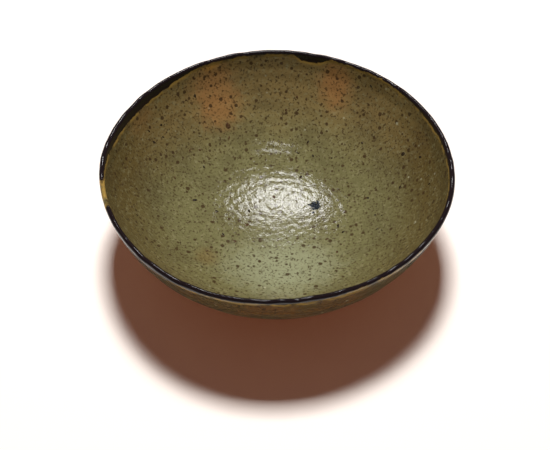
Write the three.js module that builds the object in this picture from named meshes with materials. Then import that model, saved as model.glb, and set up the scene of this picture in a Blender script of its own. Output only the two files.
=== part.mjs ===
// A wheel-thrown stoneware tea bowl, wide and low: a clay wall and floor, a luted-on foot ring,
// an ash glaze coat inside and another outside, and a band of iron glaze over the lip.
// Millimetres, +Z up. The origin is the middle of the circle on which the foot stands.
import * as THREE from "three";

// Overall sizes of the fired and glazed bowl
const rimDiameter = 150;
const bowlHeight = 52;

// Foot ring
const footDiameter = 52;
const footHeight = 7;
const footWall = 5.5;
const footTaper = 1.2;
const footEdge = 0.8;

// Clay wall and floor
const lipWall = 1.5;
const lipLean = THREE.MathUtils.degToRad(12.5);
const bellyWall = 4.4;
const floorThickness = 6;
const wellDiameter = 44;
const wellDepth = 0.9;
const wellEdge = 3;
const wellMargin = 0.5;

// Handles of the outer wall's curve: how far it keeps straight above the foot and below the lip
const footHandle = 30;
const footRise = THREE.MathUtils.degToRad(4);
const lipHandle = 18.5;

// Glaze coats, and where they stop
const glazeThickness = 0.4;
const rimBandInside = 2.8;
const rimBandOutside = 2.2;
const glazeLineDiameter = 66;

// How finely the round shapes are cut
const facets = 48;
const stepsWall = 11;
const stepsBand = 2;
const stepsLip = 6;

const colours = {
  clay: 0x8a5f45,
  ashGlaze: 0x7d7650,
  outsideGlaze: 0x6f6340,
  ironGlaze: 0x241c1a,
};

const point = (r, z) => new THREE.Vector2(r, z);

// The lip is a half circle of clay. Its centre puts the glazed lip at the overall sizes.
const lipCentre = point(
  rimDiameter / 2 - glazeThickness - lipWall / 2,
  bowlHeight - glazeThickness - lipWall / 2,
);
const lipUp = point(Math.sin(lipLean), Math.cos(lipLean));
const lipOut = point(Math.cos(lipLean), -Math.sin(lipLean));

const footJoin = point(footDiameter / 2, footHeight);
const lipShoulder = lipCentre.clone().addScaledVector(lipOut, lipWall / 2);
const outerWall = new THREE.CubicBezierCurve(
  footJoin,
  footJoin.clone().add(point(footHandle * Math.cos(footRise), footHandle * Math.sin(footRise))),
  lipShoulder.clone().addScaledVector(lipUp, -lipHandle),
  lipShoulder,
);

// Clay thickness at t, which runs from 0 at the foot to 1 at the lip
function wallAt(t) {
  const low = THREE.MathUtils.lerp(floorThickness, bellyWall, THREE.MathUtils.smoothstep(t, 0, 0.5));
  return THREE.MathUtils.lerp(low, lipWall, THREE.MathUtils.smoothstep(t, 0.35, 1));
}

const outerAt = (t) => outerWall.getPoint(t);

function innerAt(t) {
  const along = outerWall.getTangent(t);
  return outerWall.getPoint(t).add(point(-along.y, along.x).multiplyScalar(wallAt(t)));
}

// The t at which a measure of the curve, rising with t, reaches a value
function solveFor(curve, measure, value) {
  let low = 0;
  let high = 1;
  for (let step = 0; step < 40; step += 1) {
    const middle = (low + high) / 2;
    if (measure(curve(middle)) < value) {
      low = middle;
    } else {
      high = middle;
    }
  }
  return (low + high) / 2;
}

function sampled(curve, from, to, steps) {
  return Array.from({ length: steps + 1 }, (_, i) => curve(THREE.MathUtils.lerp(from, to, i / steps)));
}

// The clay's whole skin as one path, in stretches that end where one coat meets the next:
// the floor and inside wall, the lip between the two glaze seams, the outside down to the glaze line
const height = (p) => p.y;
const radius = (p) => p.x;
const insideSeam = solveFor(innerAt, height, bowlHeight - rimBandInside);
const outsideSeam = solveFor(outerAt, height, bowlHeight - rimBandOutside);
const glazeLine = solveFor(outerAt, radius, glazeLineDiameter / 2);

// The inside wall begins above the foot, or at the well's edge where the well is the wider
const wallStart = solveFor(innerAt, radius, wellDiameter / 2 + wellMargin);
const floorHeight = innerAt(wallStart).y;

const floorPath = [
  point(0, floorHeight - wellDepth),
  point(wellDiameter / 2 - wellEdge, floorHeight - wellDepth),
  point(wellDiameter / 2 - wellEdge / 2, floorHeight - wellDepth / 2),
  point(wellDiameter / 2, floorHeight),
];
const insidePath = [...floorPath, ...sampled(innerAt, wallStart, insideSeam, stepsWall)];
const lipArc = Array.from({ length: stepsLip + 1 }, (_, i) => {
  const turn = Math.PI * (1 - i / stepsLip);
  return lipCentre
    .clone()
    .addScaledVector(lipOut, (Math.cos(turn) * lipWall) / 2)
    .addScaledVector(lipUp, (Math.sin(turn) * lipWall) / 2);
});
const lipPath = [
  ...sampled(innerAt, insideSeam, 1, stepsBand).slice(0, -1),
  ...lipArc,
  ...sampled(outerAt, 1, outsideSeam, stepsBand).slice(1),
];
const outsidePath = sampled(outerAt, outsideSeam, glazeLine, stepsWall);
const skin = [...insidePath, ...lipPath.slice(1), ...outsidePath.slice(1)];
const lipStart = insidePath.length - 1;
const lipEnd = lipStart + lipPath.length - 1;

// The glazed surface: each point of the skin moved outwards by the glaze's thickness
const glazed = skin.map((p, i) => {
  if (i === 0) {
    return point(0, p.y + glazeThickness);
  }
  const before = p.clone().sub(skin[i - 1]).normalize();
  const after = i === skin.length - 1 ? before : skin[i + 1].clone().sub(p).normalize();
  const along = before.clone().add(after).normalize();
  const mitre = Math.max(along.dot(before), Math.SQRT1_2);
  return p.clone().add(point(-along.y, along.x).multiplyScalar(glazeThickness / mitre));
});

function revolved(name, colour, roughness, outline) {
  const geometry = new THREE.LatheGeometry(outline, facets);
  geometry.rotateX(Math.PI / 2);
  const material = new THREE.MeshStandardMaterial({ color: colour, roughness, metalness: 0 });
  const mesh = new THREE.Mesh(geometry, material);
  mesh.name = name;
  return mesh;
}

// A coat lies on the skin between two of its points and is closed over the glazed surface
function coat(name, colour, roughness, from, to) {
  const under = skin.slice(from, to + 1);
  const over = glazed.slice(from, to + 1).reverse();
  const outline = from === 0 ? [...under, ...over] : [...under, ...over, under[0]];
  return revolved(name, colour, roughness, outline);
}

function clayBody() {
  const bare = sampled(outerAt, 0, glazeLine, 2).slice(0, -1);
  const outline = [point(0, footHeight), ...bare, ...skin.slice().reverse()];
  return revolved("clay_body", colours.clay, 0.9, outline);
}

// The ring's wall is thickest where it joins the body, and it stands on a flat band between two soft edges
function footRing() {
  const outside = footDiameter / 2 - footTaper;
  const inside = outside - footWall;
  const outline = [
    point(inside + footEdge, 0),
    point(outside - footEdge, 0),
    point(outside, footEdge),
    point(footDiameter / 2, footHeight),
    point(inside - footTaper, footHeight),
    point(inside, footEdge),
  ];
  return revolved("foot_ring", colours.clay, 0.92, [...outline, outline[0]]);
}

const bowl = new THREE.Group();
bowl.add(clayBody());
bowl.add(footRing());
bowl.add(coat("inside_glaze", colours.ashGlaze, 0.25, 0, lipStart));
bowl.add(coat("rim_glaze", colours.ironGlaze, 0.2, lipStart, lipEnd));
bowl.add(coat("outside_glaze", colours.outsideGlaze, 0.3, lipEnd, skin.length - 1));

export default bowl;
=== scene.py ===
"""A low stoneware tea bowl.

It has an olive ash glaze inside and out, a dark iron glaze over the lip and a bare clay foot. Each coat of
glaze and each piece of clay is a closed mesh turned round the bowl's axis. Its section is read from the
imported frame, and throwing rings, a lumpy lip and a soft wobble are then worked into it.
"""

import logging
import math
from dataclasses import dataclass
from enum import Enum

import bpy
import numpy as np
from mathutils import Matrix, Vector, noise
from mathutils.bvhtree import BVHTree


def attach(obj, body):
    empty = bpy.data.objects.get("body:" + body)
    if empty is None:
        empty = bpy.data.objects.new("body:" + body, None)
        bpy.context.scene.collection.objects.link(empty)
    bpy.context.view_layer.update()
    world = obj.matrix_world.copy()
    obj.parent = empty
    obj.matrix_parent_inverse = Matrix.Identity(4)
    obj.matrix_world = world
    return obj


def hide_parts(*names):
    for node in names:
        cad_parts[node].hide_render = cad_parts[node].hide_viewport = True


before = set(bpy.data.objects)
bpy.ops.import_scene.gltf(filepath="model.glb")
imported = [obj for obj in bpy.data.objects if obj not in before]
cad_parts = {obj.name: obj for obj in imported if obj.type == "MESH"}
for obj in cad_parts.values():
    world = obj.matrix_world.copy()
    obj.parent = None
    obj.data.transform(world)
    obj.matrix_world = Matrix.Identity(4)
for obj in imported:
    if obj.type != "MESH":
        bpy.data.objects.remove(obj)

log = logging.getLogger("tea_bowl")

MM = 0.001
SOFT_ANGLE = math.radians(60.0)
Colour = tuple[float, float, float]
Triple = tuple[float, float, float]
Span = tuple[float, float]
Socket = bpy.types.NodeSocket
WHITE = (1.0, 1.0, 1.0)


class Side(Enum):
    """Which face of the bowl a coat of glaze lies on."""

    INSIDE = "inside"
    LIP = "lip"
    OUTSIDE = "outside"


class Tone(Enum):
    """How dark an iron mark has fired."""

    BROWN = 0
    BLACK = 1


def smoothstep(low: float, high: float, value: np.ndarray) -> np.ndarray:
    """Eases from 0 at low to 1 at high.

    Args:
        low: where the ease starts.
        high: where it ends.
        value: the numbers to ease.

    Returns:
        The eased numbers, between 0 and 1.
    """
    part = np.clip((value - low) / (high - low), 0.0, 1.0)
    return part * part * (3.0 - 2.0 * part)


def hump(angle: np.ndarray, centre: float, width: float) -> np.ndarray:
    """A soft hump round the bowl.

    Args:
        angle: angles round the bowl, in radians.
        centre: where the hump stands, in degrees.
        width: its half width, in degrees.

    Returns:
        1 at the centre, falling to 0 away from it.
    """
    apart = np.angle(np.exp(1j * (angle - math.radians(centre))))
    return np.exp(-((apart / math.radians(width)) ** 2))


def lumps(points: np.ndarray, size: float) -> np.ndarray:
    """Smooth random lumps in space.

    Args:
        points: places, with three coordinates on the last axis.
        size: the size of a lump, in the same unit.

    Returns:
        Heights between about -1 and 1, one for each place.
    """
    flat = (points / size).reshape(-1, 3)
    return np.array([noise.noise(Vector(p)) for p in flat]).reshape(points.shape[:-1])


class Wobble:
    """A smooth random wave round the bowl, the same on each run."""

    def __init__(self, seed: int, waves: int, first: int = 2) -> None:
        """Draws the waves.

        Args:
            seed: the random seed.
            waves: how many waves are summed.
            first: how many times the longest one goes round.
        """
        draw = np.random.default_rng(seed)
        self.counts = np.arange(first, first + waves)
        self.sizes = draw.normal(size=waves) / np.sqrt(self.counts)
        self.phases = draw.uniform(0.0, 2.0 * math.pi, waves)
        self.sizes /= np.sqrt(np.sum(self.sizes**2) / 2.0)

    def at(self, angle: np.ndarray) -> np.ndarray:
        """The wave at each angle. It swings about 1 to either side of 0."""
        waves = np.cos(angle[..., None] * self.counts + self.phases)
        return waves @ self.sizes


@dataclass
class Section:
    """The bowl's section, read from the frame.

    Its path runs on the glazed surface from the middle of the well, over the lip, to the glaze line
    above the foot. Thick glaze softens the well's step into a shallow dish. Lengths are in metres.
    """

    dish_radius: float = 32.0 * MM
    dish_depth: float = 2.6 * MM
    dish_power: float = 2.2
    dish_points: int = 8
    same_place: float = 0.05 * MM

    def __post_init__(self) -> None:
        """Reads the three coats and the clay from the frame."""
        clay = self.column("clay_body")
        coats = {node: self.column(node) for node in ("inside_glaze", "rim_glaze", "outside_glaze")}
        inside = self.bare_of(coats["inside_glaze"], clay)
        inside = self.dished(inside[np.argsort(inside[:, 0])])
        lip = self.bare_of(coats["rim_glaze"], clay)
        middle = (lip.max(0) + lip.min(0)) / 2.0
        turn = np.arctan2(lip[:, 1] - middle[1], lip[:, 0] - middle[0])
        turn = np.where(turn < -math.pi / 2.0, turn + 2.0 * math.pi, turn)
        lip = lip[np.argsort(-turn)]
        outside = self.bare_of(coats["outside_glaze"], clay)
        outside = outside[np.argsort(-outside[:, 0])]
        self.path = np.vstack([inside[:-1], lip, outside[1:]])
        steps = np.linalg.norm(np.diff(self.path, axis=0), axis=1)
        self.length = np.concatenate([[0.0], np.cumsum(steps)])
        self.inside_end = float(self.length[len(inside) - 1])
        self.lip_end = float(self.length[len(inside) + len(lip) - 2])
        self.end = float(self.length[-1])
        self.top = float(self.path[:, 1].max())
        bare = self.bare_of(clay, np.vstack(list(coats.values())))
        self.bare = bare[np.argsort(-bare[:, 0])]

    def dished(self, inside: np.ndarray) -> np.ndarray:
        """Softens the well's step into a shallow dish, as thick glaze does.

        Args:
            inside: the glazed inside, from the well's middle outwards.

        Returns:
            The same line with the dish in place of the well and its step.
        """
        wall = inside[inside[:, 0] > self.dish_radius]
        radius = np.linspace(0.0, wall[0, 0], self.dish_points, endpoint=False)
        height = wall[0, 1] - self.dish_depth * (1.0 - (radius / wall[0, 0]) ** self.dish_power)
        return np.vstack([np.c_[radius, height], wall])

    @staticmethod
    def column(node: str) -> np.ndarray:
        """The points of a node's section.

        Args:
            node: the node's name.

        Returns:
            Radius and height of each point, in metres.
        """
        on_plane = 0.01 * MM
        points = np.array([v.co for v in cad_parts[node].data.vertices])
        near = (np.abs(points[:, 0]) < on_plane) & (points[:, 1] < -on_plane)
        flat = np.round(np.c_[-points[near, 1], points[near, 2]], 7)
        return np.unique(flat, axis=0)

    def bare_of(self, points: np.ndarray, others: np.ndarray) -> np.ndarray:
        """The points that don't lie on any of the others."""
        gaps = np.linalg.norm(points[:, None] - others[None], axis=2).min(1)
        return points[gaps > self.same_place]

    def at(self, along: np.ndarray) -> np.ndarray:
        """The smooth section at lengths along it.

        Args:
            along: lengths from the middle of the well, in metres.

        Returns:
            Radius and height of each point, in metres, on a last axis of two.
        """
        index = np.clip(np.searchsorted(self.length, along, side="right") - 1, 0, len(self.path) - 2)
        before = np.clip(index - 1, 0, None)
        after = np.clip(index + 2, None, len(self.path) - 1)
        start, end = self.length[index], self.length[index + 1]
        span = (end - start)[..., None]
        share = (along - start)[..., None] / span
        first, last = self.path[index], self.path[index + 1]
        leaving = (last - self.path[before]) / (end - self.length[before])[..., None] * span
        arriving = (self.path[after] - first) / (self.length[after] - start)[..., None] * span
        return (
            (2 * share**3 - 3 * share**2 + 1) * first
            + (share**3 - 2 * share**2 + share) * leaving
            + (3 * share**2 - 2 * share**3) * last
            + (share**3 - share**2) * arriving
        )

    def normal(self, along: np.ndarray) -> np.ndarray:
        """The direction out of the glaze, away from the clay.

        Args:
            along: lengths from the middle of the well, in metres.

        Returns:
            The direction's radial and upward parts, on a last axis of two.
        """
        step = 0.05 * MM
        ahead = self.at(np.clip(along + step, 0.0, self.end))
        behind = self.at(np.clip(along - step, 0.0, self.end))
        run = ahead - behind
        run = run / np.linalg.norm(run, axis=-1)[..., None]
        return np.stack([-run[..., 1], run[..., 0]], axis=-1)


def solid_of(name: str, points: np.ndarray, faces: list, material: bpy.types.Material) -> bpy.types.Object:
    """Makes a smooth piece that rides on the bowl.

    Args:
        name: the piece's name.
        points: its points, in metres.
        faces: its faces, as lists of point numbers.
        material: its finish.

    Returns:
        The piece.
    """
    mesh = bpy.data.meshes.new(name)
    mesh.from_pydata(points.tolist(), [], faces)
    mesh.shade_smooth()
    mesh.set_sharp_from_angle(angle=SOFT_ANGLE)
    mesh.materials.append(material)
    piece = bpy.data.objects.new(name, mesh)
    bpy.context.scene.collection.objects.link(piece)
    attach(piece, "root")
    log.info("%s: %d faces", name, len(faces))
    return piece


def turned(rings: np.ndarray, closes: bool = False) -> tuple[np.ndarray, list]:
    """Joins rings of points into a closed skin.

    Args:
        rings: points as ring, column, coordinate.
        closes: whether the last ring joins the first. If not, both ends close on the axis.

    Returns:
        The points and the faces.
    """
    count, columns, _ = rings.shape
    points = rings.reshape(-1, 3)
    here = np.arange(columns)
    beside = np.roll(here, -1)
    faces = []
    for ring in range(count if closes else count - 1):
        low = ring * columns
        high = (ring + 1) % count * columns
        quads = np.c_[high + here, high + beside, low + beside, low + here]
        faces.extend(quads.tolist())
    if not closes:
        hubs = np.stack([rings[0].mean(0), rings[-1].mean(0)])
        first, last = len(points), len(points) + 1
        end = (count - 1) * columns
        faces.extend([first, int(a), int(b)] for a, b in zip(here, beside))
        faces.extend([last, int(end + b), int(end + a)] for a, b in zip(here, beside))
        points = np.vstack([points, hubs])
    return points, faces


@dataclass(frozen=True)
class Grains:
    """Round grains scattered in a finish, most of them small.

    The spacing and the largest grain's half width are in millimetres, and the soft edge is in spacings.
    """

    spacing: float
    largest: float
    strength: float
    rarity: float = 3.0
    edge: Span = (-0.12, 0.02)


class NodeBench:
    """Builds a material's nodes with short calls. Places and sizes are in millimetres."""

    def __init__(self, name: str) -> None:
        """Starts a material, with its places, heights and radius at hand.

        Args:
            name: the material's name.
        """
        self.material = bpy.data.materials.new(name)
        self.material.use_nodes = True
        self.tree = self.material.node_tree
        self.shader = self.tree.nodes["Principled BSDF"]
        coordinates = self.tree.nodes.new("ShaderNodeTexCoord")
        self.place = self.vector("SCALE", coordinates.outputs["Object"], scale=1.0 / MM)
        parts = self.tree.nodes.new("ShaderNodeSeparateXYZ")
        self.tree.links.new(self.place, parts.inputs[0])
        self.x, self.y, self.z = parts.outputs
        squares = (self.math("MULTIPLY", self.x, self.x), self.math("MULTIPLY", self.y, self.y))
        self.radius = self.math("SQRT", self.math("ADD", *squares))

    def feed(self, socket: Socket, source: object) -> None:
        """Links a socket, or sets its value.

        Args:
            socket: the input.
            source: an output or a value.
        """
        if isinstance(source, bpy.types.NodeSocket):
            self.tree.links.new(source, socket)
        else:
            socket.default_value = source

    def math(self, operation: str, first: object, second: object = 0.0, third: object = 0.0) -> Socket:
        """A math node.

        Args:
            operation: what it does.
            first: its first input, an output or a value.
            second: its second input.
            third: its third input.

        Returns:
            Its result.
        """
        node = self.tree.nodes.new("ShaderNodeMath")
        node.operation = operation
        for socket, source in zip(node.inputs, (first, second, third)):
            self.feed(socket, source)
        return node.outputs[0]

    def total(self, *values: object) -> Socket:
        """The sum of several values.

        Args:
            values: outputs or values.

        Returns:
            Their sum.
        """
        result = values[0]
        for value in values[1:]:
            result = self.math("ADD", result, value)
        return result

    def vector(self, operation: str, first: object, second: object = None, scale: float = 1.0) -> Socket:
        """A vector math node.

        Args:
            operation: what it does.
            first: its first input, an output or a value.
            second: its second input, if it has one.
            scale: how much it scales, if it does.

        Returns:
            Its result.
        """
        node = self.tree.nodes.new("ShaderNodeVectorMath")
        node.operation = operation
        self.feed(node.inputs[0], first)
        if second is not None:
            self.feed(node.inputs[1], second)
        if operation == "SCALE":
            node.inputs["Scale"].default_value = scale
        return node.outputs["Value"] if operation == "LENGTH" else node.outputs["Vector"]

    def noise(self, size: float, detail: float = 2.0, rough: float = 0.5) -> Socket:
        """Noise between about 0.2 and 0.8.

        Args:
            size: the size of its lumps.
            detail: how many finer layers it has.
            rough: how strong the finer layers are.

        Returns:
            The noise.
        """
        node = self.tree.nodes.new("ShaderNodeTexNoise")
        self.feed(node.inputs["Vector"], self.place)
        node.inputs["Scale"].default_value = 1.0 / size
        node.inputs["Detail"].default_value = detail
        node.inputs["Roughness"].default_value = rough
        return node.outputs["Fac"]

    def grains(self, grains: Grains) -> Socket:
        """Scattered round grains with soft edges.

        Args:
            grains: their sizes and strength.

        Returns:
            Their strength inside a grain, and 0 outside.
        """
        node = self.tree.nodes.new("ShaderNodeTexVoronoi")
        self.feed(node.inputs["Vector"], self.place)
        node.inputs["Scale"].default_value = 1.0 / grains.spacing
        parts = self.tree.nodes.new("ShaderNodeSeparateColor")
        self.tree.links.new(node.outputs["Color"], parts.inputs[0])
        rare = self.math("POWER", parts.outputs[0], grains.rarity)
        size = self.math("MULTIPLY", rare, grains.largest / grains.spacing)
        inside = self.ease(self.math("SUBTRACT", node.outputs["Distance"], size), *grains.edge, 1.0, 0.0)
        return self.math("MULTIPLY", inside, grains.strength)

    def ease(self, value: object, low: float, high: float, start: float = 0.0, end: float = 1.0) -> Socket:
        """Eases a value.

        Args:
            value: the value to ease.
            low: where the ease begins.
            high: where it ends.
            start: the result up to low.
            end: the result from high on.

        Returns:
            The eased value.
        """
        node = self.tree.nodes.new("ShaderNodeMapRange")
        node.interpolation_type = "SMOOTHSTEP"
        for socket, source in zip(node.inputs, (value, low, high, start, end)):
            self.feed(socket, source)
        return node.outputs[0]

    def toward(self, angle: float, width: float) -> Socket:
        """A soft sector round the bowl's axis.

        Args:
            angle: where it points, in degrees.
            width: how far from there it ends, in degrees.

        Returns:
            1 at the angle, falling to 0.
        """
        turn = math.radians(angle)
        across = self.math("MULTIPLY", self.x, math.cos(turn))
        along = self.math("MULTIPLY_ADD", self.y, math.sin(turn), across)
        return self.ease(self.math("DIVIDE", along, self.radius), math.cos(math.radians(width)), 1.0)

    def patch(self, centre: Vector, size: Triple) -> Socket:
        """The distance from a place, in half sizes of a patch, both in millimetres."""
        away = self.vector("SUBTRACT", self.place, tuple(centre))
        return self.vector("LENGTH", self.vector("DIVIDE", away, size))

    def mix(self, amount: object, first: object, second: object) -> Socket:
        """A blend of two colours.

        Args:
            amount: how much of the second colour there is, from 0 to 1.
            first: the first colour.
            second: the second colour.

        Returns:
            The blend.
        """
        node = self.tree.nodes.new("ShaderNodeMix")
        node.data_type = "RGBA"
        self.feed(node.inputs[0], amount)
        for socket, source in ((node.inputs[6], first), (node.inputs[7], second)):
            self.feed(socket, source if isinstance(source, bpy.types.NodeSocket) else (*source, 1.0))
        return node.outputs[2]

    def bump(self, height: object, depth: float) -> None:
        """Gives the shader a bump.

        Args:
            height: the bump's height, in depths.
            depth: how high a height of 1 stands.
        """
        node = self.tree.nodes.new("ShaderNodeBump")
        node.inputs["Distance"].default_value = depth * MM
        self.feed(node.inputs["Height"], height)
        self.tree.links.new(node.outputs["Normal"], self.shader.inputs["Normal"])


ORANGE_PATCH = (0.33, 0.165, 0.055)
# Colour of the painted sheen on the near wall.
PAINTED_SHEEN = (0.30, 0.31, 0.185)
OCHRE_BREAK = (0.42, 0.22, 0.05)
BROWN_CLOUD = (0.16, 0.10, 0.03)


@dataclass(frozen=True)
class Patch:
    """A patch of colour laid over the glaze. Most are orange, brown or ochre; the pale one on the near wall
    is painted sheen, where the wall catches light.

    The photograph shows it at x_px, y_px. Its size is three half widths in millimetres.
    """

    x_px: float
    y_px: float
    size: Triple
    strength: float
    colour: Colour = ORANGE_PATCH


PATCHES = (
    # Painted sheen: a pale patch on the near wall, where the glaze catches light.
    Patch(283, 268, (30.0, 24.0, 14.0), 0.75, PAINTED_SHEEN),
    # Orange patches on the back wall.
    Patch(212, 82, (13.0, 16.0, 11.0), 0.8),
    Patch(219, 106, (13.0, 16.0, 11.0), 0.8),
    Patch(335, 84, (10.0, 15.0, 14.0), 0.95),
    Patch(211, 66, (5.0, 7.0, 2.4), 1.0, OCHRE_BREAK),
    Patch(140, 118, (9.0, 12.0, 8.0), 0.3),
    Patch(206, 257, (7.0, 7.0, 6.0), 0.5, BROWN_CLOUD),
)


@dataclass(frozen=True)
class Run:
    """A stretch of the lip where the iron glaze ran further down, or less far if its reach is below 0.

    Angles are in degrees, and the reach is in millimetres.
    """

    angle: float
    width: float
    reach: float


INNER_RUNS = (
    Run(152.0, 34.0, 2.4),
    Run(222.0, 30.0, 1.0),
    Run(77.0, 7.0, 2.6),
    Run(195.0, 9.0, -1.8),
)
OUTER_RUNS = (Run(-60.0, 35.0, 0.8),)


@dataclass(frozen=True)
class GlazeFinish:
    """The olive ash glaze with its iron specks, and the iron glaze where it runs over the lip.

    Sizes and heights are in millimetres. A span says where a blend begins and ends.
    """

    name: str
    side: Side
    lip_height: float
    patches: tuple[tuple[Vector, Patch], ...] = ()
    wall: Colour = (0.105, 0.074, 0.024)
    # Painted light: the back wall inside is painted lighter and browner than the front and side walls.
    painted_light_back_wall: Colour = (0.225, 0.155, 0.056)
    well: Colour = (0.150, 0.138, 0.058)
    pale: Colour = (0.27, 0.245, 0.125)
    # The outside colours are partly the glaze's own olive brown and partly painted shade: darker and redder,
    # as in shadow lit by reddish bounce light.
    outer: Colour = (0.165, 0.078, 0.024)
    outer_pale: Colour = (0.22, 0.125, 0.048)
    ochre: Colour = (0.38, 0.235, 0.055)
    iron: Colour = (0.011, 0.006, 0.007)
    speck: Colour = (0.045, 0.024, 0.010)
    # Colour of the painted glints: pale dots that stand for tiny highlights.
    bead: Colour = (0.42, 0.40, 0.26)
    cloud_size: float = 16.0
    cloud_rise: float = 12.0
    mottle_size: float = 1.8
    # Where the painted light on the back wall fades in, along y, in millimetres.
    painted_light_front_to_back: Span = (5.0, 60.0)
    well_to_wall: Span = (19.0, 44.0)
    fringe_size: float = 4.0
    fringe_reach: float = 0.9
    patch_edge: Span = (0.65, 1.65)
    freckle_size: float = 1.1
    coarse_specks: Grains = Grains(2.4, 1.15, 0.85)
    fine_specks: Grains = Grains(1.3, 0.42, 0.55)
    # Pale dots painted in as glints.
    painted_glints: Grains = Grains(4.6, 0.9, 0.7)
    ragged_size: float = 4.5
    ragged_reach: float = 2.2
    inner_reach: float = 0.1
    outer_reach: float = 0.5
    streak_size: float = 7.0
    ochre_edge: Span = (0.2, 1.7)
    iron_edge: Span = (-0.35, 0.3)
    skin_size: float = 1.0
    dimple_size: float = 2.2
    dimple_share: float = 1.6
    roughness: Span = (0.08, 0.17)
    bump_depth: float = 0.055

    def body(self, bench: NodeBench) -> Socket:
        """The ash glaze's colour, mottled and clouded, with painted light: inside, the back wall is painted
        lighter and browner; outside, the darker, browner colour is partly the glaze's own and partly painted
        shade.

        Args:
            bench: the material's nodes.

        Returns:
            The colour.
        """
        cloud = bench.noise(self.cloud_size, 4.0, 0.6)
        mottle = bench.noise(self.mottle_size, 5.0, 0.65)
        if self.side is Side.OUTSIDE:
            # Outside: the glaze's own olive brown, partly darkened and reddened as painted shade.
            base = bench.mix(bench.ease(cloud, 0.35, 0.65), self.outer, self.wall)
            return bench.mix(bench.ease(mottle, 0.50, 0.75, 0.0, 0.6), base, self.outer_pale)
        rise = bench.math("ADD", bench.z, bench.math("MULTIPLY", cloud, self.cloud_rise))
        # Painted light: the inside grows lighter and browner towards the back wall.
        upper_with_painted_light = bench.mix(bench.ease(bench.y, *self.painted_light_front_to_back), self.wall, self.painted_light_back_wall)
        base = bench.mix(bench.ease(rise, *self.well_to_wall), self.well, upper_with_painted_light)
        base = bench.mix(bench.ease(mottle, 0.48, 0.72, 0.0, 0.55), base, self.pale)
        return bench.mix(bench.ease(cloud, 0.38, 0.55, 0.22, 0.0), base, self.speck)

    def patches_and_sheen(self, bench: NodeBench, colour: Socket) -> Socket:
        """The colour with the orange, brown and ochre patches, and the pale patch of painted sheen, laid
        over it.

        Args:
            bench: the material's nodes.
            colour: the colour under the patches.

        Returns:
            The colour.
        """
        fringe = bench.noise(self.fringe_size, 4.0, 0.6)
        # Each patch is a colour; the pale one on the near wall is painted sheen.
        for centre, patch in self.patches:
            away = bench.math("MULTIPLY_ADD", fringe, self.fringe_reach, bench.patch(centre, patch.size))
            amount = bench.ease(away, *self.patch_edge, patch.strength, 0.0)
            colour = bench.mix(amount, colour, patch.colour)
        return colour

    def specked(self, bench: NodeBench, colour: Socket) -> Socket:
        """The colour with freckles, fine iron specks and pale dots of painted glint in it.

        Args:
            bench: the material's nodes.
            colour: the colour under them.

        Returns:
            The colour.
        """
        freckles = bench.ease(bench.noise(self.freckle_size, 3.0, 0.6), 0.52, 0.66, 0.0, 0.8)
        colour = bench.mix(freckles, colour, self.speck)
        colour = bench.mix(bench.grains(self.coarse_specks), colour, self.speck)
        colour = bench.mix(bench.grains(self.fine_specks), colour, self.speck)
        # Painted glints: pale dots for tiny highlights.
        return bench.mix(bench.grains(self.painted_glints), colour, self.bead)

    def band_edge(self, bench: NodeBench) -> Socket:
        """How far below the lip the iron glaze reaches.

        Args:
            bench: the material's nodes.

        Returns:
            The reach, in millimetres.
        """
        outside = self.side is Side.OUTSIDE
        ragged = bench.math("MULTIPLY", bench.noise(self.ragged_size, 4.0, 0.62), self.ragged_reach)
        reach = bench.total(ragged, self.outer_reach if outside else self.inner_reach)
        for run in OUTER_RUNS if outside else INNER_RUNS:
            reach = bench.total(reach, bench.math("MULTIPLY", bench.toward(run.angle, run.width), run.reach))
        return reach

    def make(self) -> bpy.types.Material:
        """Builds the glaze's material.

        Returns:
            The material.
        """
        bench = NodeBench(self.name)
        colour = self.specked(bench, self.patches_and_sheen(bench, self.body(bench)))
        depth = bench.math("SUBTRACT", self.lip_height, bench.z)
        past = bench.math("SUBTRACT", depth, self.band_edge(bench))
        streak = bench.ease(bench.noise(self.streak_size, 3.0, 0.5), 0.38, 0.54)
        breaking = bench.math("MULTIPLY", bench.ease(past, *self.ochre_edge, 1.0, 0.0), streak)
        colour = bench.mix(breaking, colour, self.ochre)
        colour = bench.mix(bench.ease(past, *self.iron_edge, 1.0, 0.0), colour, self.iron)
        bench.feed(bench.shader.inputs["Base Color"], colour)
        skin = bench.noise(self.skin_size, 3.0, 0.55)
        bench.feed(bench.shader.inputs["Roughness"], bench.ease(skin, 0.4, 0.7, *self.roughness))
        dimples = bench.noise(self.dimple_size, 2.0, 0.5)
        bench.bump(bench.math("MULTIPLY_ADD", dimples, self.dimple_share, skin), self.bump_depth)
        return bench.material


@dataclass(frozen=True)
class ClayFinish:
    """Bare fired stoneware, reddish brown and gritty. Sizes are in millimetres."""

    name: str
    dark: Colour = (0.13, 0.062, 0.035)
    pale: Colour = (0.33, 0.18, 0.105)
    cloud_size: float = 7.0
    grit_size: float = 0.5
    pit_size: float = 2.0
    pit_share: float = 1.2
    stones: Grains = Grains(3.0, 0.8, 0.8)
    roughness: Span = (0.72, 0.92)
    bump_depth: float = 0.22

    def make(self) -> bpy.types.Material:
        """Builds the clay's material.

        Returns:
            The material.
        """
        bench = NodeBench(self.name)
        cloud = bench.noise(self.cloud_size, 5.0, 0.6)
        grit = bench.noise(self.grit_size, 3.0, 0.7)
        colour = bench.mix(bench.ease(cloud, 0.3, 0.7), self.dark, self.pale)
        colour = bench.mix(bench.ease(grit, 0.58, 0.75, 0.0, 0.6), colour, self.dark)
        colour = bench.mix(bench.grains(self.stones), colour, self.dark)
        bench.feed(bench.shader.inputs["Base Color"], colour)
        bench.feed(bench.shader.inputs["Roughness"], bench.ease(cloud, 0.3, 0.7, *self.roughness))
        pits = bench.noise(self.pit_size, 3.0, 0.6)
        bench.bump(bench.math("MULTIPLY_ADD", pits, self.pit_share, grit), self.bump_depth)
        return bench.material


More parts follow.
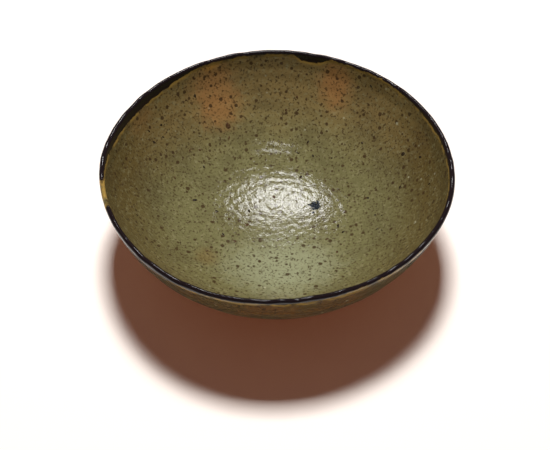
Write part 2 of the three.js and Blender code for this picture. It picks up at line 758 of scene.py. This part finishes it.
@dataclass(frozen=True)
class IronFinish:
    """Melted iron in the glaze, brown to bluish black. Sizes are in millimetres."""

    name: str
    deep: Colour
    light: Colour
    gloss: float = 0.16
    gloss_range: float = 0.12
    cloud_size: float = 0.8
    pit_size: float = 0.5
    bump_depth: float = 0.06

    def make(self) -> bpy.types.Material:
        """Builds the iron's material.

        Returns:
            The material.
        """
        bench = NodeBench(self.name)
        cloud = bench.noise(self.cloud_size, 3.0, 0.6)
        colour = bench.mix(bench.ease(cloud, 0.35, 0.65), self.deep, self.light)
        bench.feed(bench.shader.inputs["Base Color"], colour)
        sheen = bench.ease(cloud, 0.3, 0.7, self.gloss, self.gloss + self.gloss_range)
        bench.feed(bench.shader.inputs["Roughness"], sheen)
        bench.bump(bench.noise(self.pit_size, 2.0, 0.5), self.bump_depth)
        return bench.material


@dataclass(frozen=True)
class Lamp:
    """One square lamp that faces the bowl. Lengths are in metres, and the power is in watts."""

    name: str
    place: Triple
    size: float
    power: float
    colour: Colour = WHITE
    gives_gloss: bool = True
    gives_light: bool = True
    target: Triple = (0.0, 0.0, 0.03)

    def hang(self) -> None:
        """Hangs the lamp."""
        data = bpy.data.lights.new(self.name, "AREA")
        data.size = self.size
        data.energy = self.power
        data.color = self.colour
        lamp = bpy.data.objects.new(self.name, data)
        bpy.context.scene.collection.objects.link(lamp)
        lamp.location = self.place
        look = Vector(self.target) - lamp.location
        lamp.rotation_euler = look.to_track_quat("-Z", "Y").to_euler()
        lamp.visible_glossy = self.gives_gloss
        lamp.visible_diffuse = self.gives_light


LAMPS = (
    Lamp("key", (0.0, 0.28, 1.25), 0.24, 21.0, (1.0, 0.99, 0.98), gives_gloss=False),
    Lamp("back_box", (-0.02, 0.67, 0.99), 0.17, 1.7, gives_light=False),
    Lamp("top_glint", (0.02, 0.06, 1.3), 0.12, 0.6, gives_light=False),
)


@dataclass
class Studio:
    """A white floor, soft lamps and the camera of the photograph. Lengths are in metres."""

    rim_height: float
    elevation: float = math.radians(45.18)
    distance: float = 0.45
    aim: Triple = (-0.00071, 0.01032, 0.0)
    focal_px: float = 1056.6
    picture_px: Span = (550.0, 450.0)
    sensor_mm: float = 36.0
    nearest: float = 0.01
    floor_half: float = 3.0
    floor_colour: Colour = (0.93, 0.88, 0.83)
    near_glow: Colour = (0.085, 0.017, 0.002)
    far_glow: Colour = (0.9, 0.9, 0.9)
    glow_mm: Span = (190.0, 520.0)
    fill: float = 0.05

    @property
    def eye(self) -> Vector:
        """Where the camera stands."""
        flat = self.distance * math.cos(self.elevation)
        return Vector((0.0, -flat, self.rim_height + self.distance * math.sin(self.elevation)))

    def ray(self, x_px: float, y_px: float) -> Vector:
        """The direction in which the camera sees a place of the picture.

        Args:
            x_px: how far right the place is, in pixels.
            y_px: how far down it is, in pixels.

        Returns:
            The direction.
        """
        ahead = (Vector(self.aim) - self.eye).normalized()
        right = ahead.cross(Vector((0.0, 0.0, 1.0))).normalized()
        up = right.cross(ahead)
        across = x_px - self.picture_px[0] / 2.0
        down = y_px - self.picture_px[1] / 2.0
        return (ahead * self.focal_px + right * across - up * down).normalized()

    def camera(self) -> None:
        """Places the camera."""
        data = bpy.data.cameras.new("camera")
        data.sensor_width = self.sensor_mm
        data.lens = self.focal_px / self.picture_px[0] * self.sensor_mm
        data.clip_start = self.nearest
        camera = bpy.data.objects.new("camera", data)
        bpy.context.scene.collection.objects.link(camera)
        camera.location = self.eye
        look = Vector(self.aim) - self.eye
        camera.rotation_euler = look.to_track_quat("-Z", "Y").to_euler()
        bpy.context.scene.camera = camera

    def floor(self) -> None:
        """Lays the white floor, which glows warm near the bowl so that the shadow is reddish."""
        mesh = bpy.data.meshes.new("floor")
        half = self.floor_half
        corners = [(-half, -half, 0.0), (half, -half, 0.0), (half, half, 0.0), (-half, half, 0.0)]
        mesh.from_pydata(corners, [], [(0, 1, 2, 3)])
        floor = bpy.data.objects.new("floor", mesh)
        bpy.context.scene.collection.objects.link(floor)
        bench = NodeBench("white_floor")
        bench.shader.inputs["Base Color"].default_value = (*self.floor_colour, 1.0)
        bench.shader.inputs["Roughness"].default_value = 1.0
        bench.shader.inputs["Specular IOR Level"].default_value = 0.0
        path = bench.tree.nodes.new("ShaderNodeLightPath")
        far = bench.ease(bench.radius, *self.glow_mm)
        bench.feed(bench.shader.inputs["Emission Color"], bench.mix(far, self.near_glow, self.far_glow))
        bench.feed(bench.shader.inputs["Emission Strength"], path.outputs["Is Camera Ray"])
        mesh.materials.append(bench.material)

    def world(self) -> None:
        """Sets a white background and a low fill light."""
        world = bpy.data.worlds.new("studio")
        bpy.context.scene.world = world
        world.use_nodes = True
        tree = world.node_tree
        background = tree.nodes["Background"]
        path = tree.nodes.new("ShaderNodeLightPath")
        strength = tree.nodes.new("ShaderNodeMapRange")
        strength.inputs["To Min"].default_value = self.fill
        strength.inputs["To Max"].default_value = 1.0
        tree.links.new(path.outputs["Is Camera Ray"], strength.inputs["Value"])
        tree.links.new(strength.outputs["Result"], background.inputs["Strength"])
        background.inputs["Color"].default_value = (*WHITE, 1.0)

    def build(self) -> None:
        """Builds the camera, lamps, floor and world."""
        self.camera()
        for lamp in LAMPS:
            lamp.hang()
        self.floor()
        self.world()
        bpy.context.scene.view_settings.view_transform = "Standard"


@dataclass(frozen=True)
class PlaceFinder:
    """Finds places on the glaze by where the photograph shows them, or from above."""

    studio: Studio
    tree: BVHTree
    above: float = 0.2

    def seen(self, x_px: float, y_px: float) -> tuple[Vector, Vector]:
        """The place and direction of the glaze at a place of the photograph."""
        place, normal, _, _ = self.tree.ray_cast(self.studio.eye, self.studio.ray(x_px, y_px))
        return place, normal

    def under(self, x: float, y: float) -> tuple[Vector, Vector]:
        """The place and direction of the glaze straight under a point, in metres."""
        place, normal, _, _ = self.tree.ray_cast(Vector((x, y, self.above)), Vector((0.0, 0.0, -1.0)))
        return place, normal


@dataclass
class ThrownBowl:
    """The clay wall and its three coats of glaze, all turned from one section.

    Lengths are in metres. A span says where something fades in or out: along the section, from the
    lip's seam or, for the sway, in height. A bulge is an angle and a half width, in degrees.
    """

    section: Section
    studio: Studio
    columns: int = 540
    coat: float = 0.36 * MM
    clay_gap: float = 0.04 * MM
    axis_gap: float = 0.02 * MM
    inside_rings: int = 160
    lip_rings: int = 40
    outside_rings: int = 130
    clay_rings: int = 70
    finder_rings: int = 200
    back_rings: int = 12
    bare_rings: int = 14
    hollow_rings: int = 30
    inner_ring: float = 0.045 * MM
    outer_ring: float = 0.13 * MM
    ring_spacing: float = 7.0 * MM
    ring_wave: float = 0.8
    wall_start: Span = (30 * MM, 44 * MM)
    wall_end: float = 9 * MM
    outer_start: Span = (2 * MM, 8 * MM)
    ripple: float = 0.013 * MM
    ripple_spacing: float = 4.2 * MM
    ripple_wave: float = 0.5
    ripple_start: Span = (12 * MM, 18 * MM)
    ripple_end: Span = (32 * MM, 42 * MM)
    drift: float = 0.14 * MM
    drift_size: float = 22 * MM
    drift_start: float = 15 * MM
    lump: float = 0.045 * MM
    lump_size: float = 2.6 * MM
    streak_share: float = 0.8
    streak_length: float = 5.0
    streak_size: float = 2.4 * MM
    streak_start: Span = (8 * MM, 22 * MM)
    glaze_line: float = 1.1 * MM
    glaze_line_wave: float = 0.5
    bead: float = 0.12 * MM
    bead_sink: float = 0.2 * MM
    sway_rise: Span = (20 * MM, 50 * MM)
    sway: float = 0.3 * MM
    bulge: float = 0.45 * MM
    bulges: tuple[Span, ...] = ((176.0, 14.0), (50.0, 16.0))
    dip: float = 0.22 * MM
    nick: float = 0.10 * MM
    nick_depth: float = 3 * MM
    recess_share: float = 0.985
    nub: float = 1.1 * MM
    nub_radius: float = 5 * MM
    trimming: float = 0.10 * MM
    trimming_spacing: float = 0.5 * MM
    trimmed_share: float = 0.9
    clay_lump: float = 0.10 * MM
    clay_lump_size: float = 4 * MM

    def __post_init__(self) -> None:
        """Lays out the angles round the bowl."""
        self.angle = np.linspace(0.0, 2.0 * math.pi, self.columns, endpoint=False)

    def relief(self, along: np.ndarray, place: np.ndarray) -> np.ndarray:
        """How far the glazed surface stands out from the true section.

        Args:
            along: lengths along the section, for each ring and column.
            place: the places on the true section.

        Returns:
            Heights in metres.
        """
        section = self.section
        spiral = along / self.ring_spacing - self.angle / (2.0 * math.pi)
        rings = np.sin(2.0 * math.pi * spiral + self.ring_wave * Wobble(seed=4, waves=5).at(self.angle))
        below_seam = 1.0 - smoothstep(section.inside_end - self.wall_end, section.inside_end, along)
        wall = smoothstep(*self.wall_start, along) * below_seam
        outer_low, outer_high = self.outer_start
        outer = smoothstep(section.lip_end + outer_low, section.lip_end + outer_high, along)
        around_well = smoothstep(*self.ripple_start, along) * (1.0 - smoothstep(*self.ripple_end, along))
        ripple_turn = self.ripple_wave * Wobble(seed=5, waves=4).at(self.angle)
        ripples = np.sin(2.0 * math.pi * along / self.ripple_spacing + ripple_turn)
        drift = lumps(place, self.drift_size) * smoothstep(0.0, self.drift_start, along)
        around = self.streak_length * np.stack([np.cos(self.angle), np.sin(self.angle)], axis=-1)
        around = np.broadcast_to(around, (*along.shape, 2))
        streaks = lumps(np.concatenate([around, along[..., None] / self.streak_size], axis=-1), 1.0)
        grain = lumps(place, self.lump_size)
        grain = grain + self.streak_share * streaks * smoothstep(*self.streak_start, along)
        return (
            self.inner_ring * rings * wall
            + self.outer_ring * rings * outer
            + self.ripple * ripples * around_well
            + self.drift * drift
            + self.lump * grain
        )

    def surface(self, start: float, end: np.ndarray | float, count: int, sink: float = 0.0) -> np.ndarray:
        """Rings of points on the glazed surface, or under it.

        Args:
            start: length along the section where the rings start.
            end: length where they end, or one for each column.
            count: how many rings.
            sink: how far under the surface they lie, in metres.

        Returns:
            The points as ring, column, coordinate.
        """
        share = np.linspace(0.0, 1.0, count)[:, None]
        along = start + share * (np.broadcast_to(end, (self.columns,))[None, :] - start)
        flat = self.section.at(along)
        out = self.section.normal(along)
        cosine, sine = np.cos(self.angle), np.sin(self.angle)
        place = np.stack([flat[..., 0] * cosine, flat[..., 0] * sine, flat[..., 1]], axis=-1)
        lift = self.relief(along, place) - sink
        if np.ndim(end) > 0 and not sink:
            left = (end - along) / MM
            lift = lift + self.bead * np.exp(-((left - 1.0) ** 2))
            lift = lift - self.bead_sink * smoothstep(0.5, 0.0, left)
        radius = flat[..., 0] + out[..., 0] * lift
        height = flat[..., 1] + out[..., 1] * lift
        rise = smoothstep(*self.sway_rise, flat[..., 1])
        reach = self.sway * Wobble(seed=11, waves=5).at(self.angle)
        reach = reach + self.bulge * sum(hump(self.angle, *bulge) for bulge in self.bulges)
        dips = self.dip * Wobble(seed=12, waves=7).at(self.angle)
        nicks = self.nick * Wobble(seed=15, waves=40, first=20).at(self.angle)
        lip = smoothstep(self.section.top - self.nick_depth, self.section.top, flat[..., 1])
        radius = np.maximum(radius + rise * reach, self.axis_gap)
        height = height + rise * dips + lip * nicks
        return np.stack([radius * cosine, radius * sine, height], axis=-1)

    def shell(self, start: float, end: np.ndarray | float, count: int) -> np.ndarray:
        """Rings over a coat's glazed face and back under it."""
        back = self.surface(start, end, self.back_rings, self.coat)
        return np.concatenate([self.surface(start, end, count), back[::-1]])

    def coat_piece(self, name: str, node: str, rings: np.ndarray, finish: GlazeFinish) -> None:
        """Makes one coat of glaze. The inside coat closes on the axis, and the others on themselves.

        Args:
            name: the piece's name.
            node: the CAD node that it stands for.
            rings: its points, from its glazed face round to its back.
            finish: its finish.
        """
        points, faces = turned(rings, closes=finish.side is not Side.INSIDE)
        piece = solid_of(name, points, faces, finish.make())
        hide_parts(node)

    def finder(self) -> PlaceFinder:
        """Finds places on the glaze, from the well's middle to the far side of the lip.

        Returns:
            The finder. The lid that would close the mouth is left out of it.
        """
        points, faces = turned(self.surface(0.0, self.section.lip_end, self.finder_rings))
        open_faces = faces[: -self.columns]
        return PlaceFinder(self.studio, BVHTree.FromPolygons(points.tolist(), open_faces))

    def build(self) -> PlaceFinder:
        """Builds the clay wall and the three coats.

        Returns:
            The finder of places on the glaze.
        """
        section = self.section
        top = section.top / MM
        finder = self.finder()
        patches = tuple((finder.seen(patch.x_px, patch.y_px)[0] / MM, patch) for patch in PATCHES)

        inner = GlazeFinish("ash_glaze_inside", Side.INSIDE, top, patches)
        rings = self.shell(0.0, section.inside_end, self.inside_rings)
        self.coat_piece("inside_ash_coat", "inside_glaze", rings, inner)

        lip = GlazeFinish("iron_glaze_lip", Side.LIP, top, patches)
        rings = self.shell(section.inside_end, section.lip_end, self.lip_rings)
        self.coat_piece("lip_iron_band", "rim_glaze", rings, lip)

        outer = GlazeFinish("ash_glaze_outside", Side.OUTSIDE, top)
        ragged = self.glaze_line_wave * Wobble(seed=21, waves=9).at(self.angle).clip(-2.0, 2.0)
        edge = section.end - self.glaze_line * (1.0 + ragged)
        rings = self.shell(section.lip_end, edge, self.outside_rings)
        self.coat_piece("outside_ash_coat", "outside_glaze", rings, outer)
        self.clay_wall()
        return finder

    def underside(self, start: np.ndarray) -> np.ndarray:
        """The bare clay's section, from the coats' end over the foot's joint to the middle.

        Args:
            start: radius and height where the glazed clay ends.

        Returns:
            Radius and height of each point, in metres.
        """
        belly = self.section.bare[0]
        joint = self.section.bare[-1]
        inner = np.array([joint[0] * self.recess_share, joint[1]])
        share = np.linspace(0.0, 1.0, self.bare_rings)[1:, None]
        straight = start + share * (inner - start)
        bow = belly - (start + (inner - start) * (start[0] - belly[0]) / (start[0] - inner[0]))
        bare = straight + bow * np.sin(math.pi * share)
        radius = inner[0] * np.linspace(1.0, 0.02, self.hollow_rings)[1:]
        nub = np.exp(-((radius / self.nub_radius) ** 2)) * self.nub
        spiral = self.trimming * np.sin(radius / self.trimming_spacing)
        height = joint[1] - (nub + spiral * (radius < self.trimmed_share * joint[0]))
        return np.vstack([bare, np.c_[radius, height]])

    def clay_wall(self) -> None:
        """Builds the clay body under the coats, with its trimmed underside."""
        under = self.surface(0.0, self.section.end, self.clay_rings, self.coat + self.clay_gap)
        last = under[-1, 0]
        profile = self.underside(np.array([np.hypot(last[0], last[1]), last[2]]))
        cosine, sine = np.cos(self.angle), np.sin(self.angle)
        level = profile[:, 1:] + 0.0 * cosine
        rings = np.stack([profile[:, :1] * cosine, profile[:, :1] * sine, level], axis=-1)
        rings[..., 2] += self.clay_lump * lumps(rings, self.clay_lump_size)
        points, faces = turned(np.concatenate([under, rings]))
        piece = solid_of("thrown_clay_wall", points, faces, ClayFinish("bare_clay_body").make())
        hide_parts("clay_body")


@dataclass
class FootRing:
    """The luted foot ring, with soft edges, a gritty skin and a few small chips. Lengths are in metres."""

    columns: int = 300
    steps: int = 14
    rounding: int = 3
    roughness: float = 0.12 * MM
    lump_size: float = 3.5 * MM
    grit_size: float = 1.2 * MM
    grit_share: float = 0.5
    chip: float = 1.75 * MM
    chip_size: float = 5 * MM
    chip_threshold: float = 0.28
    chip_height: Span = (0.2 * MM, 2.2 * MM)
    chip_lift: float = 0.8

    def outline(self) -> np.ndarray:
        """The ring's section with its corners eased.

        Returns:
            Radius and height of each point, in metres.
        """
        corners = Section.column("foot_ring")
        middle = corners.mean(0)
        turn = np.arctan2(corners[:, 1] - middle[1], corners[:, 0] - middle[0])
        line = corners[np.argsort(turn)]
        whole = []
        for start, end in zip(line, np.roll(line, -1, axis=0)):
            share = np.linspace(0.0, 1.0, self.steps, endpoint=False)[:, None]
            whole.append(start + share * (end - start))
        points = np.vstack(whole)
        for _ in range(self.rounding):
            points = (np.roll(points, 1, axis=0) + 2.0 * points + np.roll(points, -1, axis=0)) / 4.0
        return points

    def build(self) -> None:
        """Builds the ring."""
        profile = self.outline()
        angle = np.linspace(0.0, 2.0 * math.pi, self.columns, endpoint=False)
        cosine, sine = np.cos(angle), np.sin(angle)
        level = profile[:, 1:] - profile[:, 1].min() + 0.0 * cosine
        rings = np.stack([profile[:, :1] * cosine, profile[:, :1] * sine, level], axis=-1)
        shape = lumps(rings, self.lump_size) + self.grit_share * lumps(rings, self.grit_size)
        low = 1.0 - smoothstep(*self.chip_height, rings[..., 2])
        chips = np.maximum(lumps(rings, self.chip_size) - self.chip_threshold, 0.0) * self.chip * low
        middle = profile[:, 0].mean()
        side = np.sign(profile[:, :1] - middle)
        swell = 1.0 + side * (self.roughness * shape - chips) / middle
        rings[..., 0] *= swell
        rings[..., 1] *= swell
        rings[..., 2] += chips * self.chip_lift
        points, faces = turned(rings[::-1], closes=True)
        piece = solid_of("foot_ring_clay", points, faces, ClayFinish("bare_clay_foot").make())
        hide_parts("foot_ring")


@dataclass(frozen=True)
class Mark:
    """One iron mark that the photograph shows. Its size is its width in millimetres."""

    x_px: float
    y_px: float
    size: float


MARKS = {
    Tone.BLACK: (
        Mark(154, 142, 1.0), Mark(149, 131, 0.9), Mark(161, 125, 0.9), Mark(163, 137, 0.8),
        Mark(195, 96, 1.1), Mark(204, 167, 1.0), Mark(403, 154, 1.6), Mark(420, 157, 1.1),
        Mark(308, 142, 0.9), Mark(313, 156, 0.9), Mark(298, 153, 0.9), Mark(362, 143, 0.9),
        Mark(371, 86, 0.9), Mark(195, 200, 1.3), Mark(136, 210, 0.8), Mark(137, 215, 0.8),
        Mark(223, 234, 0.9), Mark(400, 187, 1.0), Mark(429, 184, 0.9), Mark(368, 198, 0.9),
        Mark(375, 215, 0.8), Mark(377, 229, 0.8), Mark(338, 226, 1.3), Mark(343, 232, 0.9),
        Mark(217, 211, 1.0), Mark(301, 177, 1.2), Mark(249, 211, 1.1),
    ),
    Tone.BROWN: (
        Mark(186, 100, 0.8), Mark(228, 126, 2.1), Mark(229, 138, 1.0), Mark(190, 150, 0.9),
        Mark(200, 150, 0.9), Mark(297, 97, 1.0), Mark(286, 110, 0.9), Mark(298, 110, 0.8),
        Mark(175, 178, 0.9), Mark(247, 225, 1.3), Mark(235, 241, 1.1), Mark(274, 197, 1.2),
        Mark(207, 251, 0.9), Mark(337, 252, 0.9), Mark(327, 239, 1.0),
    ),
}


@dataclass
class IronMarks:
    """The iron specks and the bluish-black blotch, melted into the glaze inside.

    Lengths are in metres, apart from the millimetres of the scattered widths.
    """

    finder: PlaceFinder
    seed: int = 8
    sides: int = 9
    ragged: Span = (0.8, 1.15)
    longest: float = 1.6
    spread: float = 1.6
    tone_total: int = 185
    scatter_radius: float = 68 * MM
    scatter_share: Span = (0.02, 1.0)
    width_draw: Span = (-0.75, 0.35)
    widths_mm: Span = (0.25, 0.95)
    speck_height: float = 0.07 * MM
    speck_steepness: float = 0.05
    blotch_px: Span = (315.0, 206.0)
    blotch_size: float = 5.0 * MM
    blotch_shape: Span = (0.24, 0.27)
    blotch_slant: float = -0.25
    blotch_grains: int = 80
    grain_widths_mm: Span = (0.6, 1.7)
    grain_height: float = 0.12 * MM
    grain_steepness: float = 0.08

    def __post_init__(self) -> None:
        """Readies the seeded draws."""
        self.draw = np.random.default_rng(self.seed)

    def dome(self, centre: Vector, normal: Vector, size: float, height: float) -> tuple[list, list]:
        """One flat speck with an uneven outline, half sunk in the glaze.

        Args:
            centre: its place on the glaze.
            normal: the glaze's direction there.
            size: its width in metres.
            height: how far it stands out, in metres.

        Returns:
            Its points and its faces.
        """
        across = normal.orthogonal().normalized()
        other = normal.cross(across)
        turn = self.draw.uniform(0.0, math.pi)
        long = self.draw.uniform(1.0, self.longest)
        sides = self.sides
        points = [centre + normal * height]
        for rim, rise in ((0.6, 0.75), (1.0, -0.6)):
            for i in range(sides):
                angle = 2.0 * math.pi * i / sides
                reach = size / 2.0 * rim * self.draw.uniform(*self.ragged)
                a, b = reach * math.cos(angle) * long, reach * math.sin(angle) / long
                a, b = a * math.cos(turn) - b * math.sin(turn), a * math.sin(turn) + b * math.cos(turn)
                points.append(centre + across * a + other * b + normal * height * rise)
        points.append(centre - normal * height)
        faces = []
        for i in range(sides):
            j = (i + 1) % sides
            faces.append([0, 1 + i, 1 + j])
            faces.append([1 + i, 1 + sides + i, 1 + sides + j, 1 + j])
            faces.append([1 + sides + i, 1 + 2 * sides, 1 + sides + j])
        return points, faces

    def crowd(self, name: str, domes: list[tuple[list, list]], finish: IronFinish) -> None:
        """Joins domes into one piece.

        Args:
            name: the piece's name.
            domes: the points and faces of each dome.
            finish: its finish.
        """
        points, faces = [], []
        for more, shape in domes:
            faces.extend([[len(points) + k for k in face] for face in shape])
            points.extend(more)
        piece = solid_of(name, np.array([tuple(p) for p in points]), faces, finish.make())

    def specks(self, tone: Tone, finish: IronFinish) -> None:
        """Lays the specks of one tone, first those that the photograph shows.

        Args:
            tone: the tone.
            finish: its finish.
        """
        seats = []
        for mark in MARKS[tone]:
            seats.append((*self.finder.seen(mark.x_px, mark.y_px), mark.size * self.spread * MM))
        while len(seats) < self.tone_total:
            reach = self.scatter_radius * math.sqrt(self.draw.uniform(*self.scatter_share))
            angle = self.draw.uniform(0.0, 2.0 * math.pi)
            seat = self.finder.under(reach * math.cos(angle), reach * math.sin(angle))
            width = float(np.clip(self.draw.lognormal(*self.width_draw), *self.widths_mm)) * MM
            seats.append((*seat, width))
        domes = []
        for place, normal, size in seats:
            domes.append(self.dome(place, normal, size, self.speck_height + self.speck_steepness * size))
        self.crowd(f"iron_specks_{tone.name.lower()}", domes, finish)

    def blotch(self, finish: IronFinish) -> None:
        """Builds the blotch as a crowd of melted grains.

        Args:
            finish: its finish.
        """
        centre, _ = self.finder.seen(*self.blotch_px)
        domes = []
        for _ in range(self.blotch_grains):
            x, y = self.draw.normal(size=2) * self.blotch_size * np.array(self.blotch_shape)
            place, normal = self.finder.under(centre.x + x, centre.y + y + self.blotch_slant * x)
            size = float(self.draw.uniform(*self.grain_widths_mm)) * MM
            domes.append(self.dome(place, normal, size, self.grain_height + self.grain_steepness * size))
        self.crowd("iron_blotch", domes, finish)

    def build(self) -> None:
        """Builds the specks and the blotch."""
        self.specks(Tone.BLACK, IronFinish("iron_black", (0.010, 0.007, 0.005), (0.035, 0.022, 0.012)))
        self.specks(Tone.BROWN, IronFinish("iron_brown", (0.045, 0.020, 0.009), (0.095, 0.05, 0.022)))
        self.blotch(IronFinish("iron_blue_black", (0.006, 0.009, 0.014), (0.03, 0.036, 0.045), 0.1))


def main() -> None:
    """Builds the bowl and its studio."""
    logging.basicConfig(level=logging.INFO)
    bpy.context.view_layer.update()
    section = Section()
    studio = Studio(rim_height=section.top)
    studio.build()
    finder = ThrownBowl(section, studio).build()
    FootRing().build()
    IronMarks(finder).build()


if __name__ == "__main__":
    main()
